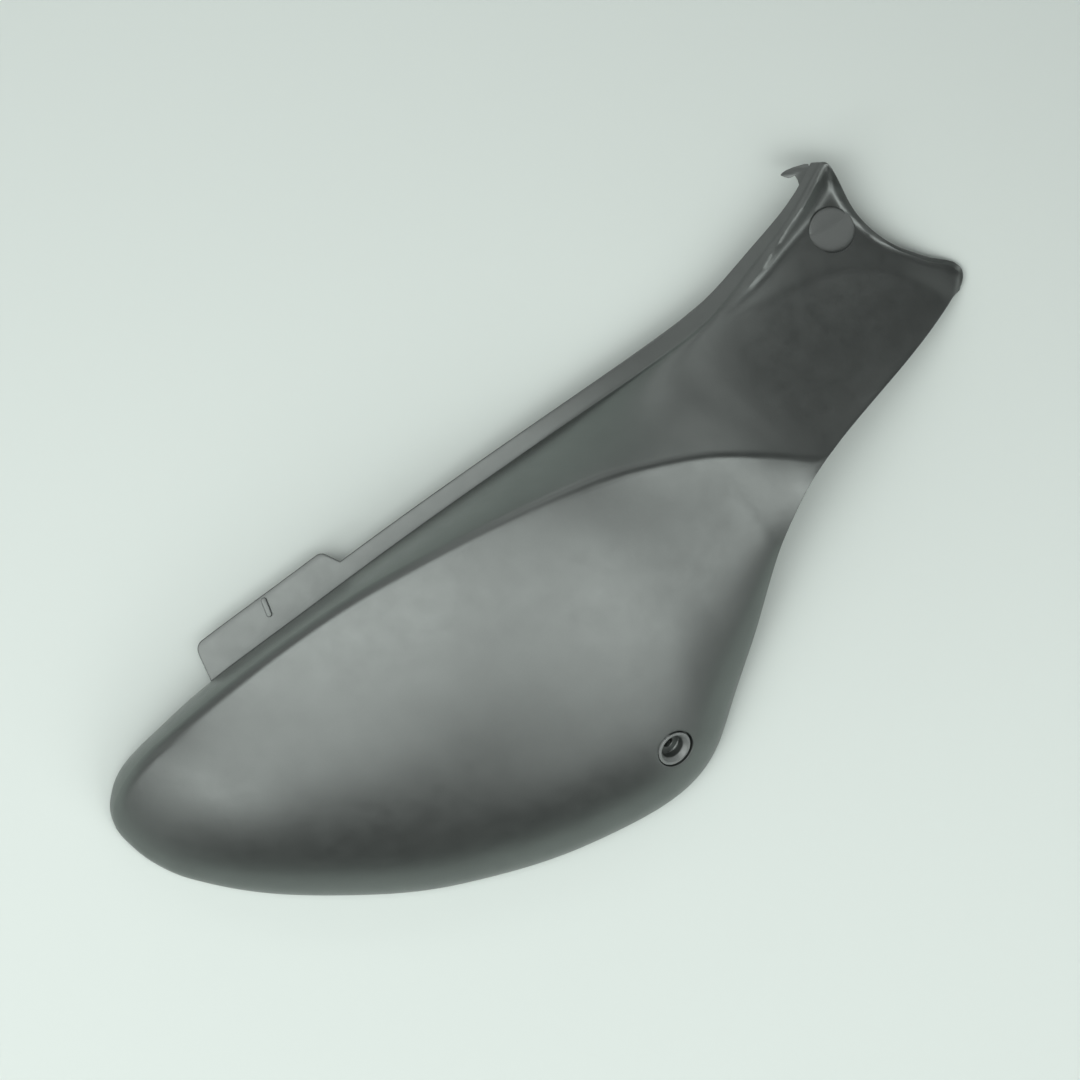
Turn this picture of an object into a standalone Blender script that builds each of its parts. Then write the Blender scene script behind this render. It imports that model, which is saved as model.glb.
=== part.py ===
"""Side panel of a scooter: one moulded shell that lies on its rim, hollow side down.

+X runs along the straight mounting flange from the round nose to the forked
tail, +Y points from the bulb towards the flange and +Z points out of the panel.
Lengths in the tables are millimetres, everything else is metres.
"""
import math

import bmesh
import bpy
import numpy as np
from mathutils import Matrix, Vector

MM = 0.001

# Driving sizes of the shell
WALL = 0.0025
CROWN_HEIGHT = 0.088
NOSE_X = -0.3153
TAIL_X = 0.316
SHOULDER_ROUND = 0.0055
NECK_REACH = 0.42
DOME_REACH = 0.52
RIM_RISE = 0.56
RIM_FLARE = 0.012
STEEP_DROP = 0.030
STRAIGHT_SHARE = 0.3

# Mounting flange and its tab
FLANGE_WIDTH = 0.0117
FLANGE_END_WIDTH = 0.0050
FLANGE_START_X = -0.215
FLANGE_LOW_Z = 0.015
FLANGE_RISE = 0.024
FLANGE_TWIST = 0.28
TAB_LENGTH = 0.108
TAB_REACH = 0.0235
TAB_ROUND = 0.0065
TAB_DRAFT = 5.5
HOOK_REACH = 0.0200
HOOK_X = 0.250
HOOK_STEP = 0.0004
FLANGE_NARROW_X = 0.155

# Locating rib on the tab
NIB_LENGTH = 0.0125
NIB_WIDTH = 0.0036
NIB_HEIGHT = 0.0022
NIB_ROOT = 0.0012
NIB_INSET = 0.0012
NIB_FROM_START = 0.054
NIB_SKEW = math.radians(-13.0)

# Screw seat in the flank of the bulb
SEAT_X = -0.0055
SEAT_Y = -0.1515
SEAT_DIP = 0.11
SEAT_DIAMETER = 0.0254
GROOVE_SHIFT = 0.0005
GROOVE_DEPTH = 0.0048
COLLAR_DIAMETER = 0.0224
COLLAR_WALL = 0.0017
COLLAR_PROUD = -0.0002
COLLAR_LIP = 0.0006
COLLAR_ROOT = 0.0006
BORE_DEPTH = 0.0086
SCREW_HOLE = 0.0066
SEAT_WALL = 0.0025
TOOL_REACH = 0.012

# Round flat seat in the scoop beside the flange-side horn
POCKET_X = 0.2550
POCKET_Y = 0.0535
POCKET_DIAMETER = 0.0280
POCKET_DEPTH = 0.0008
POCKET_CLEARANCE = 0.0003
POCKET_WALL = 0.0022
POCKET_BACK = 0.0068

# Scoop between the neck arc and the fork
SCOOP_START_X = 0.150
SCOOP_DEPTH = 0.0115
SCOOP_SLOPE_ARC = 0.23
SCOOP_SLOPE_RIDGE = 0.95
SCOOP_SLOPE_FORK = 0.80
SCOOP_ROUND = 0.0018

# Fineness of the loft and of the round cuts
NOSE_ROWS = 10
STATION_STEP = 0.0092
TAB_STATION_STEP = 0.0129
TAIL_STEP = 0.0074
FLANGE_CELLS = 2
NECK_CELLS = 12
ROUND_CELLS = 2
DOME_CELLS = 15
FORK_CELLS = 18
ROUND_STEPS = 40

# Guide curves of the loft, each a few (x, value) points in millimetres
RIM_Y = [(-315.3, 1), (-314, -9), (-312, -17.2), (-307, -29.8), (-300, -42), (-290, -54.3), (-280, -65.2),
         (-255, -87.8), (-220, -113), (-180, -137), (-140, -154), (-100, -166.8), (-60, -174.6),
         (-28, -177.6), (-8, -176), (8, -171), (22, -163), (40, -149), (80, -118.5), (118, -87.8),
         (134, -77.5), (150, -68.4), (170, -59.8), (200, -50.6), (240, -40.4), (270, -31.6), (300, -19.8),
         (316, -12)]
RIM_Z = [(-315.3, 0), (-280, 0), (-200, 0), (-100, 0), (-28, 0), (-8, 0.4), (8, 2), (22, 5.2), (45, 12.6),
         (80, 24.5), (110, 35.5), (130, 42.6), (145, 46.6), (156, 47.6), (167, 46.2), (180, 43.2),
         (200, 38.2), (240, 26), (280, 12.9), (300, 5.6), (316, 1.9)]
FOOT_Y = [(-315.3, 1), (-314, 9.6), (-312, 14.6), (-306, 22.2), (-295, 30.4), (-280, 35.4), (-255, 39.4),
          (-240, 41.6), (-218, 43.8), (-150, 46.2), (-90, 48), (0, 49), (75, 48.8), (135, 49.2), (160, 51),
          (180, 55.8), (200, 62.3), (220, 68.8), (240, 76), (264.6, 88), (316, 113)]
NOSE_FOOT_Z = [(-315.3, 0), (-300, 3.2), (-280, 7), (-250, 11.4), (-215, 15)]
SHOULDER_Y = [(-315.3, 1), (-309, 11), (-291, 21), (-270, 27), (-240, 30), (-210, 32.5), (-180, 34.5),
              (-150, 35.3), (-120, 34.8), (-90, 32.4), (-60, 29), (-30, 25), (0, 20), (30, 14.5), (60, 7),
              (90, -5), (115, -17.5), (135, -31), (150, -42.3), (163, -53.2), (171, -57), (185, -52.8),
              (200, -48.3), (240, -38), (270, -29.2), (300, -17.5), (316, -9.5)]
SHOULDER_Z = [(-315.3, 0), (-309, 15), (-291, 32.5), (-270, 46), (-240, 59), (-210, 67.5), (-180, 74),
              (-150, 79), (-120, 83), (-90, 86), (-60, 87.5), (-30, 88), (0, 87.5), (30, 85.5), (60, 81),
              (90, 74.5), (115, 66.6), (135, 58.6), (150, 52), (163, 47.9), (171, 45.4), (180, 43),
              (200, 38), (240, 25.8), (280, 12.7), (300, 5.5), (316, 1.8)]
NECK_SLOPE = [(-315.3, 0.4), (-270, 0.5), (-210, 0.7), (-120, 0.9), (-30, 0.85), (30, 0.78), (75, 0.66),
              (110, 0.5), (130, 0.36), (150, 0.2), (163, 0.14), (175, 0.15), (190, 0.18), (210, 0.19),
              (240, 0.14), (280, 0.05), (316, -0.05)]
FOOT_HEIGHT = [(-315.3, 0), (-300, 9), (-280, 17), (-240, 28), (-200, 34), (-120, 34), (-60, 29), (0, 22),
               (50, 14), (90, 9.5), (130, 7.6), (170, 7.2), (200, 6.2), (230, 5.5), (316, 6)]
DOME_SLOPE = [(-315.3, 0), (-270, 0.02), (-200, -0.03), (-100, -0.02), (0, 0.04), (60, 0.14), (110, 0.32),
              (135, 0.27), (150, 0.15), (163, 0.04), (172, -0.06), (240, -0.06), (316, -0.06)]
NECK_ARC = [(159, 46.5), (185, 43), (204, 39.5), (229, 34.5), (247, 29), (262, 20), (274, 6.5),
            (284, -11), (291, -25), (316, -80)]
RIDGE_LINE = [(150, 44), (161, 47), (183, 51.6), (200, 56), (226.6, 66.6), (251.5, 76.4), (269.6, 85.8),
              (316, 108)]
FORK_EDGE = [(-30, 319), (-10, 308.0), (0, 300.2), (5.2, 295.2), (11.8, 290.2), (18.2, 285.2),
             (26.2, 280.2), (39.5, 275.2), (52, 273.0), (62, 273.2), (72.2, 274.7), (80, 275.8),
             (100, 277.5)]
HOOK_OUTLINE = [(246, 83.8), (253.8, 86.8), (255.2, 93.8), (251.2, 94.4), (248.4, 99.2), (252.5, 99.6),
                (257.2, 98.6), (264, 96.2), (270, 93.0), (275.6, 89.2)]
HORN_TIP = [(302.6, -1.6), (306.0, -5.2), (308.0, -10.6), (306.4, -15.4), (303.4, -18.4), (298.5, -22.0)]


def natural_spline(xs, ys):
    """Second derivatives of the smooth cubic curve through a few points."""
    count = len(xs)
    matrix = np.zeros((count, count))
    right = np.zeros(count)
    matrix[0, 0] = 1.0
    matrix[-1, -1] = 1.0
    for i in range(1, count - 1):
        before = xs[i] - xs[i - 1]
        after = xs[i + 1] - xs[i]
        matrix[i, i - 1] = before
        matrix[i, i] = 2.0 * (before + after)
        matrix[i, i + 1] = after
        right[i] = 6.0 * ((ys[i + 1] - ys[i]) / after - (ys[i] - ys[i - 1]) / before)
    return np.linalg.solve(matrix, right)


class Guide:
    """A smooth curve through a few points, stretched near the nose where it turns round."""

    def __init__(self, points, scale=MM, nose=True):
        self.nose = nose
        self.xs = np.array([self.stretch(x * MM) for x, _ in points])
        if nose:
            self.xs[0] = 0.0
        self.ys = np.array([y * scale for _, y in points])
        self.bend = natural_spline(self.xs, self.ys)

    def stretch(self, x):
        """Distance from the nose in a measure that opens out its round end."""
        return math.sqrt(max(x - NOSE_X, 0.0)) if self.nose else x

    def __call__(self, x):
        place = self.stretch(x)
        i = int(np.clip(np.searchsorted(self.xs, place) - 1, 0, len(self.xs) - 2))
        width = self.xs[i + 1] - self.xs[i]
        a = (self.xs[i + 1] - place) / width
        b = 1.0 - a
        smooth = ((a ** 3 - a) * self.bend[i] + (b ** 3 - b) * self.bend[i + 1]) * width * width / 6.0
        return float(a * self.ys[i] + b * self.ys[i + 1] + smooth)

    def slope(self, x, step=0.0005):
        """Rise of the curve per metre at x."""
        return (self(x + step) - self(x - step)) / (2.0 * step)


rim_y = Guide(RIM_Y)
rim_z = Guide(RIM_Z)
foot_y = Guide(FOOT_Y)
nose_foot_z = Guide(NOSE_FOOT_Z, scale=FLANGE_LOW_Z / 15.0)
shoulder_y = Guide(SHOULDER_Y)
shoulder_z = Guide(SHOULDER_Z, scale=CROWN_HEIGHT / 88.0)
neck_slope = Guide(NECK_SLOPE, scale=1.0)
foot_height = Guide(FOOT_HEIGHT)
dome_slope = Guide(DOME_SLOPE, scale=1.0)
neck_arc = Guide(NECK_ARC, nose=False)
ridge_line = Guide(RIDGE_LINE, nose=False)
fork_edge = Guide(FORK_EDGE, nose=False)


def foot_z(x):
    """Height of the foot of the wall, which the flange carries on outwards."""
    if x <= FLANGE_START_X:
        return nose_foot_z(x)
    return FLANGE_LOW_Z + FLANGE_RISE * (x - FLANGE_START_X)


def bezier(p0, p1, p2, p3, t):
    """Point of a cubic arc in a section."""
    s = 1.0 - t
    return p0 * s ** 3 + p1 * (3.0 * s * s * t) + p2 * (3.0 * s * t * t) + p3 * t ** 3


def tab_reach(inset):
    """How far the tab stands out from the foot of the wall, a distance inside its end."""
    lost = 0.0
    if inset < TAB_ROUND:
        lost = TAB_ROUND - math.sqrt(max(TAB_ROUND ** 2 - (TAB_ROUND - inset) ** 2, 0.0))
    return min(TAB_REACH - lost, TAB_DRAFT * inset)


def flange_width(x):
    """Width of the flange: none round the nose, then the tab, the straight strip and the hook."""
    if x <= FLANGE_START_X:
        return 0.0
    if x > HOOK_X:
        return FLANGE_END_WIDTH + HOOK_REACH
    width = FLANGE_WIDTH
    if x > FLANGE_NARROW_X:
        share = (x - FLANGE_NARROW_X) / (HOOK_X - FLANGE_NARROW_X)
        width += (FLANGE_END_WIDTH - FLANGE_WIDTH) * share
    end = FLANGE_START_X + TAB_LENGTH
    if x < FLANGE_START_X + 0.5 * TAB_LENGTH:
        return tab_reach(x - FLANGE_START_X)
    if x < end:
        return max(tab_reach(end - x), width)
    return width


def scoop_depth(x, y):
    """How far the skin is dished between the neck arc, the ridge and the forked edge."""
    if x < SCOOP_START_X:
        return 0.0
    slope = neck_arc.slope(x)
    from_arc = (y - neck_arc(x)) / math.hypot(1.0, slope)
    slope = ridge_line.slope(x)
    from_ridge = (ridge_line(x) - y) / math.hypot(1.0, slope)
    slope = fork_edge.slope(y)
    from_fork = (fork_edge(y) - x) / math.hypot(1.0, slope)
    limits = (from_arc * SCOOP_SLOPE_ARC, from_ridge * SCOOP_SLOPE_RIDGE,
              from_fork * SCOOP_SLOPE_FORK, SCOOP_DEPTH)
    sharp = 1.0 / SCOOP_ROUND
    depth = -math.log(sum(math.exp(-min(limit * sharp, 60.0)) for limit in limits)) / sharp
    depth = 0.5 * (depth + math.hypot(depth, 0.0008))
    return max(depth - 0.0001, 0.0)


def section_arcs(x):
    """The two arcs of the section at x: shoulder to flange foot, and shoulder to rim."""
    foot = Vector((x, foot_y(x), foot_z(x)))
    shoulder = Vector((x, shoulder_y(x), shoulder_z(x)))
    rim = Vector((x, rim_y(x), rim_z(x)))
    span = foot.y - shoulder.y
    reach = NECK_REACH * span
    neck = (shoulder, shoulder + Vector((0.0, reach, -reach * neck_slope(x))),
            foot + Vector((0.0, -0.02 * span, foot_height(x))), foot)
    span = shoulder.y - rim.y
    drop = shoulder.z - rim.z
    reach = DOME_REACH * span
    steep = min(max(drop / STEEP_DROP, 0.0), 1.0) if x > 0.0 else 1.0
    straight = STRAIGHT_SHARE * (1.0 - steep)
    lean = RIM_FLARE * min(max((x + 0.02) / 0.08, 0.0), 1.0) * steep + straight * span
    rise = (RIM_RISE * steep + straight) * drop
    dome = (shoulder, shoulder + Vector((0.0, -reach, -reach * dome_slope(x))),
            rim + Vector((0.0, lean, rise)), rim)
    return neck, dome


def section(x, cells):
    """Points of the outer skin at x, from the flange edge over the shoulder to the rim."""
    flange_cells, neck_cells, round_cells, dome_cells = cells
    neck, dome = section_arcs(x)
    if x <= NOSE_X:
        return [neck[0]] * (flange_cells + neck_cells + 2 * round_cells + dome_cells + 1)
    foot = neck[3]
    width = flange_width(x)
    twist = FLANGE_TWIST * min(max((x - 0.03) / 0.10, 0.0), 1.0)
    points = []
    for i in range(flange_cells):
        out = width * (1.0 - i / flange_cells)
        points.append(foot + Vector((0.0, out, -out * twist)))
    neck_start = min(SHOULDER_ROUND / max(3.0 * (neck[1] - neck[0]).length, 1e-6), 0.3)
    dome_start = min(SHOULDER_ROUND / max(3.0 * (dome[1] - dome[0]).length, 1e-6), 0.3)
    for i in range(neck_cells):
        t = 1.0 + (neck_start - 1.0) * i / neck_cells
        points.append(bezier(*neck, t))
    first = bezier(*neck, neck_start)
    last = bezier(*dome, dome_start)
    for i in range(2 * round_cells):
        t = i / (2.0 * round_cells)
        points.append(first * (1.0 - t) ** 2 + neck[0] * (2.0 * t * (1.0 - t)) + last * t * t)
    for i in range(dome_cells + 1):
        t = dome_start + (1.0 - dome_start) * i / dome_cells
        points.append(bezier(*dome, t))
    for i in range(flange_cells, len(points)):
        points[i].z -= scoop_depth(points[i].x, points[i].y)
    return points


def stations():
    """Places of the sections, closer together at the nose and at the corners of the tab."""
    places = []
    nose_length = FLANGE_START_X - NOSE_X
    for i in range(NOSE_ROWS):
        places.append(NOSE_X + nose_length * (i / (NOSE_ROWS - 1)) ** 2)
    end = FLANGE_START_X + TAB_LENGTH
    corner = [0.01, 0.3, 0.62, 1.0, 1.5]
    places += [FLANGE_START_X + TAB_ROUND * share for share in corner]
    inset = TAB_ROUND * corner[-1]
    inner = TAB_LENGTH - 2.0 * inset
    count = round(inner / TAB_STATION_STEP)
    places += [FLANGE_START_X + inset + inner * i / count for i in range(1, count)]
    places += [end - TAB_ROUND * share for share in reversed(corner)]
    neck = SCOOP_START_X
    count = round((neck - end) / STATION_STEP)
    places += [end + (neck - end) * i / count for i in range(1, count)]
    count = round((HOOK_X - neck) / TAIL_STEP)
    places += [neck + (HOOK_X - neck) * i / count for i in range(count + 1)]
    places.append(HOOK_X + HOOK_STEP)
    count = round((TAIL_X - HOOK_X) / TAIL_STEP)
    places += [HOOK_X + (TAIL_X - HOOK_X) * i / count for i in range(1, count + 1)]
    return places


def skin_point(x, y, dished=True):
    """Point of the outer skin above (x, y), with or without the scoop, and the outward normal there."""
    def at(place, target):
        dome = section_arcs(place)[1] if target < shoulder_y(place) else section_arcs(place)[0]
        low, high = 0.0, 1.0
        sign = 1.0 if dome[3].y > dome[0].y else -1.0
        for _ in range(40):
            mid = 0.5 * (low + high)
            if (bezier(*dome, mid).y - target) * sign < 0.0:
                low = mid
            else:
                high = mid
        point = bezier(*dome, 0.5 * (low + high))
        if dished:
            point.z -= scoop_depth(place, target)
        return point
    step = 0.003
    along = at(x + step, y) - at(x - step, y)
    across = at(x, y + step) - at(x, y - step)
    return at(x, y), along.cross(across).normalized()


def material(name, colour, roughness, metallic):
    """Principled finish of the moulding."""
    finish = bpy.data.materials.new(name)
    finish.use_nodes = True
    shader = finish.node_tree.nodes["Principled BSDF"]
    shader.inputs["Base Color"].default_value = (*colour, 1.0)
    shader.inputs["Roughness"].default_value = roughness
    shader.inputs["Metallic"].default_value = metallic
    finish.diffuse_color = (*colour, 1.0)
    return finish


def collection(name):
    """A new collection in the scene."""
    made = bpy.data.collections.new(name)
    bpy.context.scene.collection.children.link(made)
    return made


def mesh_object(name, bm, home):
    """Turn a bmesh into an object of the given collection."""
    mesh = bpy.data.meshes.new(name)
    bm.to_mesh(mesh)
    bm.free()
    made = bpy.data.objects.new(name, mesh)
    home.objects.link(made)
    return made


def hide_tool(tool, parent):
    """Show a cutter or a join piece as a wire guide only."""
    tool.hide_render = True
    tool.display_type = "WIRE"
    tool.parent = parent


def boolean(target, tool, operation, name):
    """Cut or join the target with another closed solid."""
    step = target.modifiers.new(name, "BOOLEAN")
    step.operation = operation
    step.solver = "EXACT"
    step.object = tool


def loft_shell(home):
    """Outer skin through all sections, thickened inwards."""
    bm = bmesh.new()
    cells = (FLANGE_CELLS, NECK_CELLS, ROUND_CELLS, DOME_CELLS)
    rows = [[bm.verts.new(p) for p in section(x, cells)] for x in stations()]
    for here, there in zip(rows, rows[1:]):
        for i in range(len(here) - 1):
            bm.faces.new((here[i], here[i + 1], there[i + 1], there[i]))
    bmesh.ops.remove_doubles(bm, verts=bm.verts, dist=1e-5)
    bmesh.ops.recalc_face_normals(bm, faces=bm.faces)
    top = max(bm.faces, key=lambda face: face.calc_center_median().z)
    if top.normal.z < 0.0:
        bmesh.ops.reverse_faces(bm, faces=bm.faces)
    shell = mesh_object("side_panel", bm, home)
    step = shell.modifiers.new("wall", "SOLIDIFY")
    step.thickness = WALL
    step.offset = -1.0
    step.use_even_offset = True
    step.use_quality_normals = True
    return shell


def outline_prism(name, outline, low, high, home):
    """Closed prism over a flat outline, made from a filled curve."""
    curve = bpy.data.curves.new(name, "CURVE")
    curve.dimensions = "2D"
    curve.fill_mode = "BOTH"
    curve.extrude = 0.5 * (high - low)
    spline = curve.splines.new("POLY")
    spline.points.add(len(outline) - 1)
    for point, (x, y) in zip(spline.points, outline):
        point.co = (x, y, 0.0, 1.0)
    spline.use_cyclic_u = True
    guide = bpy.data.objects.new(name + "_outline", curve)
    home.objects.link(guide)
    bpy.context.view_layer.update()
    depsgraph = bpy.context.evaluated_depsgraph_get()
    mesh = bpy.data.meshes.new_from_object(guide.evaluated_get(depsgraph))
    bm = bmesh.new()
    bm.from_mesh(mesh)
    bmesh.ops.remove_doubles(bm, verts=bm.verts, dist=1e-6)
    bmesh.ops.recalc_face_normals(bm, faces=bm.faces)
    bpy.data.objects.remove(guide)
    prism = mesh_object(name, bm, home)
    prism.location.z = 0.5 * (low + high)
    return prism


def fork_cutter(home):
    """Everything past the hook, the two horns and the concave edge between them."""
    inner = [(x * MM, y * MM) for x, y in HOOK_OUTLINE]
    ys = np.linspace(0.084, 0.001, FORK_CELLS)
    inner += [(fork_edge(y), y) for y in ys]
    inner += [(x * MM, y * MM) for x, y in HORN_TIP]
    hook_x, hook_y = inner[0]
    outer = [(0.345, -0.060), (0.345, 0.150), (hook_x, 0.150)]
    return outline_prism("fork_cutter", inner + outer, -0.04, 0.16, home)


def cylinder(name, radius, start, end, point, normal, home):
    """Closed cylinder along the normal between two distances from a point."""
    bm = bmesh.new()
    bmesh.ops.create_cone(bm, cap_ends=True, segments=ROUND_STEPS, radius1=radius, radius2=radius,
                          depth=end - start)
    made = mesh_object(name, bm, home)
    turn = Vector((0.0, 0.0, 1.0)).rotation_difference(normal).to_matrix().to_4x4()
    made.matrix_world = Matrix.Translation(point + normal * (0.5 * (start + end))) @ turn
    return made


def turned(name, profile, point, normal, home, spin=0.0):
    """Solid of revolution on the normal, from a profile of (radius, height) points that ends on the axis."""
    bm = bmesh.new()
    verts = [bm.verts.new((radius, 0.0, height)) for radius, height in profile]
    for a, b in zip(verts, verts[1:]):
        bm.edges.new((a, b))
    made = mesh_object(name, bm, home)
    screw = made.modifiers.new("turn", "SCREW")
    screw.steps = ROUND_STEPS
    screw.render_steps = ROUND_STEPS
    screw.use_merge_vertices = True
    screw.merge_threshold = 0.00001
    weld = made.modifiers.new("close", "WELD")
    weld.merge_threshold = 0.00001
    turn = Vector((0.0, 0.0, 1.0)).rotation_difference(normal).to_matrix().to_4x4()
    made.matrix_world = Matrix.Translation(point) @ turn @ Matrix.Rotation(spin, 4, "Z")
    return made


def seat_frame():
    """Middle of the seat on the skin, the skin's normal, the seat's own axis and the way down it."""
    point, normal = skin_point(SEAT_X, SEAT_Y)
    upright = Vector((0.0, 0.0, 1.0))
    axis = (normal - upright * SEAT_DIP).normalized()
    return point, normal, axis, (axis * axis.z - upright).normalized()


def screw_seat(shell, tools, parent):
    """Sunk seat: a round groove, a collar that stands in it, its bore and the screw's hole."""
    point, normal, axis, downhill = seat_frame()
    groove = 0.5 * SEAT_DIAMETER
    outer = 0.5 * COLLAR_DIAMETER
    inner = outer - COLLAR_WALL
    back = -BORE_DEPTH - SEAT_WALL
    backing = cylinder("seat_backing", groove + SEAT_WALL, back, -WALL * 0.55, point, normal, tools)
    ring = cylinder("seat_groove", groove, -GROOVE_DEPTH, TOOL_REACH, point + downhill * GROOVE_SHIFT,
                    axis, tools)
    root = -GROOVE_DEPTH - COLLAR_ROOT
    profile = [(0.0, COLLAR_PROUD), (outer - COLLAR_LIP, COLLAR_PROUD),
               (outer - 0.3 * COLLAR_LIP, COLLAR_PROUD - 0.3 * COLLAR_LIP),
               (outer, COLLAR_PROUD - COLLAR_LIP), (outer, root), (0.0, root)]
    collar = turned("seat_collar", profile, point, axis, tools)
    profile = [(0.0, TOOL_REACH), (inner + 1.4 * COLLAR_LIP, TOOL_REACH),
               (inner + 1.4 * COLLAR_LIP, COLLAR_PROUD + 0.2 * COLLAR_LIP),
               (inner + 0.3 * COLLAR_LIP, COLLAR_PROUD - 0.3 * COLLAR_LIP),
               (inner, COLLAR_PROUD - COLLAR_LIP), (inner, -BORE_DEPTH),
               (0.5 * SCREW_HOLE, -BORE_DEPTH), (0.5 * SCREW_HOLE, back - TOOL_REACH),
               (0.0, back - TOOL_REACH)]
    bore = turned("seat_bore", profile, point, axis, tools, math.pi / ROUND_STEPS)
    boolean(shell, backing, "UNION", "seat backing")
    boolean(shell, ring, "DIFFERENCE", "seat groove")
    boolean(shell, collar, "UNION", "seat collar")
    boolean(shell, bore, "DIFFERENCE", "seat bore")
    for tool in (backing, ring, collar, bore):
        hide_tool(tool, parent)


def horn_pocket(shell, tools, parent):
    """Round flat seat, even with the tail's sheet: raised at one side of the scoop and sunk at the other."""
    point, normal = skin_point(POCKET_X, POCKET_Y)
    axis = skin_point(POCKET_X, POCKET_Y, dished=False)[1]
    radius = 0.5 * POCKET_DIAMETER
    backing = cylinder("pocket_backing", radius + POCKET_WALL, -POCKET_BACK, -WALL * 0.6, point, normal,
                       tools)
    pad = cylinder("pocket_pad", radius, -POCKET_BACK + POCKET_WALL, -POCKET_DEPTH, point, axis, tools)
    recess = cylinder("pocket_recess", radius + POCKET_CLEARANCE, -POCKET_DEPTH, TOOL_REACH, point, axis,
                      tools)
    boolean(shell, backing, "UNION", "pocket backing")
    boolean(shell, pad, "UNION", "pocket pad")
    boolean(shell, recess, "DIFFERENCE", "pocket recess")
    for tool in (backing, pad, recess):
        hide_tool(tool, parent)


def tab_nib(shell, tools, parent):
    """Small raised locating rib that starts at the outer edge of the tab."""
    x = FLANGE_START_X + NIB_FROM_START
    reach = TAB_REACH - 0.5 * NIB_LENGTH - NIB_INSET
    bm = bmesh.new()
    bmesh.ops.create_cube(bm, size=1.0)
    bmesh.ops.scale(bm, vec=(NIB_WIDTH, NIB_LENGTH, NIB_HEIGHT + NIB_ROOT), verts=bm.verts)
    upright = [edge for edge in bm.edges
               if abs((edge.verts[0].co - edge.verts[1].co).normalized().z) > 0.9]
    bmesh.ops.bevel(bm, geom=upright, offset=0.45 * NIB_WIDTH, segments=3, affect="EDGES", profile=0.5)
    nib = mesh_object("tab_nib", bm, tools)
    height = foot_z(x) + 0.5 * (NIB_HEIGHT - NIB_ROOT)
    nib.matrix_world = (Matrix.Translation((x, foot_y(x) + reach, height))
                        @ Matrix.Rotation(-math.atan(FLANGE_RISE), 4, "Y")
                        @ Matrix.Rotation(NIB_SKEW, 4, "Z"))
    boolean(shell, nib, "UNION", "tab nib")
    hide_tool(nib, parent)


def centre_on_floor(root, shell):
    """Set the middle of the finished panel over the origin, resting on the floor."""
    bpy.context.view_layer.update()
    depsgraph = bpy.context.evaluated_depsgraph_get()
    evaluated = shell.evaluated_get(depsgraph)
    mesh = evaluated.to_mesh()
    places = np.array([tuple(evaluated.matrix_world @ v.co) for v in mesh.vertices])
    low, high = places.min(axis=0), places.max(axis=0)
    evaluated.to_mesh_clear()
    root.location = (-0.5 * (low[0] + high[0]), -0.5 * (low[1] + high[1]), -low[2])
    bpy.context.view_layer.update()


def main():
    """Build the side panel."""
    for thing in list(bpy.data.objects):
        bpy.data.objects.remove(thing)
    home = collection("scooter_side_panel")
    tools = collection("cutters")
    root = bpy.data.objects.new("panel_frame", None)
    home.objects.link(root)
    shell = loft_shell(home)
    shell.parent = root
    screw_seat(shell, tools, root)
    horn_pocket(shell, tools, root)
    tab_nib(shell, tools, root)
    cutter = fork_cutter(tools)
    boolean(shell, cutter, "DIFFERENCE", "fork")
    hide_tool(cutter, root)
    shell.data.materials.append(material("satin_grey_paint", (0.115, 0.108, 0.105), 0.34, 0.75))
    centre_on_floor(root, shell)


main()
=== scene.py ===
"""Studio view of a scooter side panel: one painted moulding that lies on its rim.

The skin is lofted through plane sections of the panel, as the CAD is, but with
fine cells, rolled edges and small radii. Lengths in the tables are millimetres,
everything else is metres. +X runs along the mounting flange from the round nose
to the forked tail, +Y from the bulb towards the flange, +Z out of the panel.
"""
import logging
import math
from dataclasses import dataclass, field
from enum import Enum
from typing import ClassVar, Sequence

import bpy
import numpy as np
from mathutils import Matrix, Vector


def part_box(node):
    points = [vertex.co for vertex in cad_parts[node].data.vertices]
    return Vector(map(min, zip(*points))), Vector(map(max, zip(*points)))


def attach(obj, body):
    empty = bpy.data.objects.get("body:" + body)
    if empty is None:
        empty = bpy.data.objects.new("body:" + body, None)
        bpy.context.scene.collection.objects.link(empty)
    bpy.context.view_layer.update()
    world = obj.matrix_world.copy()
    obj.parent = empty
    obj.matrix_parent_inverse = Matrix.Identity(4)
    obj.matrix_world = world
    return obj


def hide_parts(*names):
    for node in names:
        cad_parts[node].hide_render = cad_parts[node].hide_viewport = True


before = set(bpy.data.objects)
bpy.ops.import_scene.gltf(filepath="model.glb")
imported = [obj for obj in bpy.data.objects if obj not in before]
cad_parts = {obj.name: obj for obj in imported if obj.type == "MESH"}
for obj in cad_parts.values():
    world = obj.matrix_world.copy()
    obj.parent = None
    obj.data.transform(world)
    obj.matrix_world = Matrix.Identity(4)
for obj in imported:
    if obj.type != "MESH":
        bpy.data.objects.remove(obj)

LOG = logging.getLogger("side_panel")
MM = 0.001
NODE = "side_panel"
HAIR = 0.00002
SPECK = 0.000001
MIDDLE_OF_NOISE = (0.3, 0.7)

Colour = tuple[float, float, float]
Pair = tuple[float, float]


class Join(Enum):
    """How a closed tool works on the moulding."""

    ADD = "UNION"
    CUT = "DIFFERENCE"


def deselect_all() -> None:
    """Leave nothing selected, as operators work on all that is."""
    bpy.ops.object.select_all(action="DESELECT")


def pick(thing: bpy.types.Object) -> None:
    """Make one object the only selected one, and the active one."""
    deselect_all()
    thing.select_set(True)
    bpy.context.view_layer.objects.active = thing


def apply_modifier(thing: bpy.types.Object, step: bpy.types.Modifier) -> None:
    """Turn a modifier's result into the object's own mesh."""
    pick(thing)
    bpy.ops.object.modifier_apply(modifier=step.name)


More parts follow.
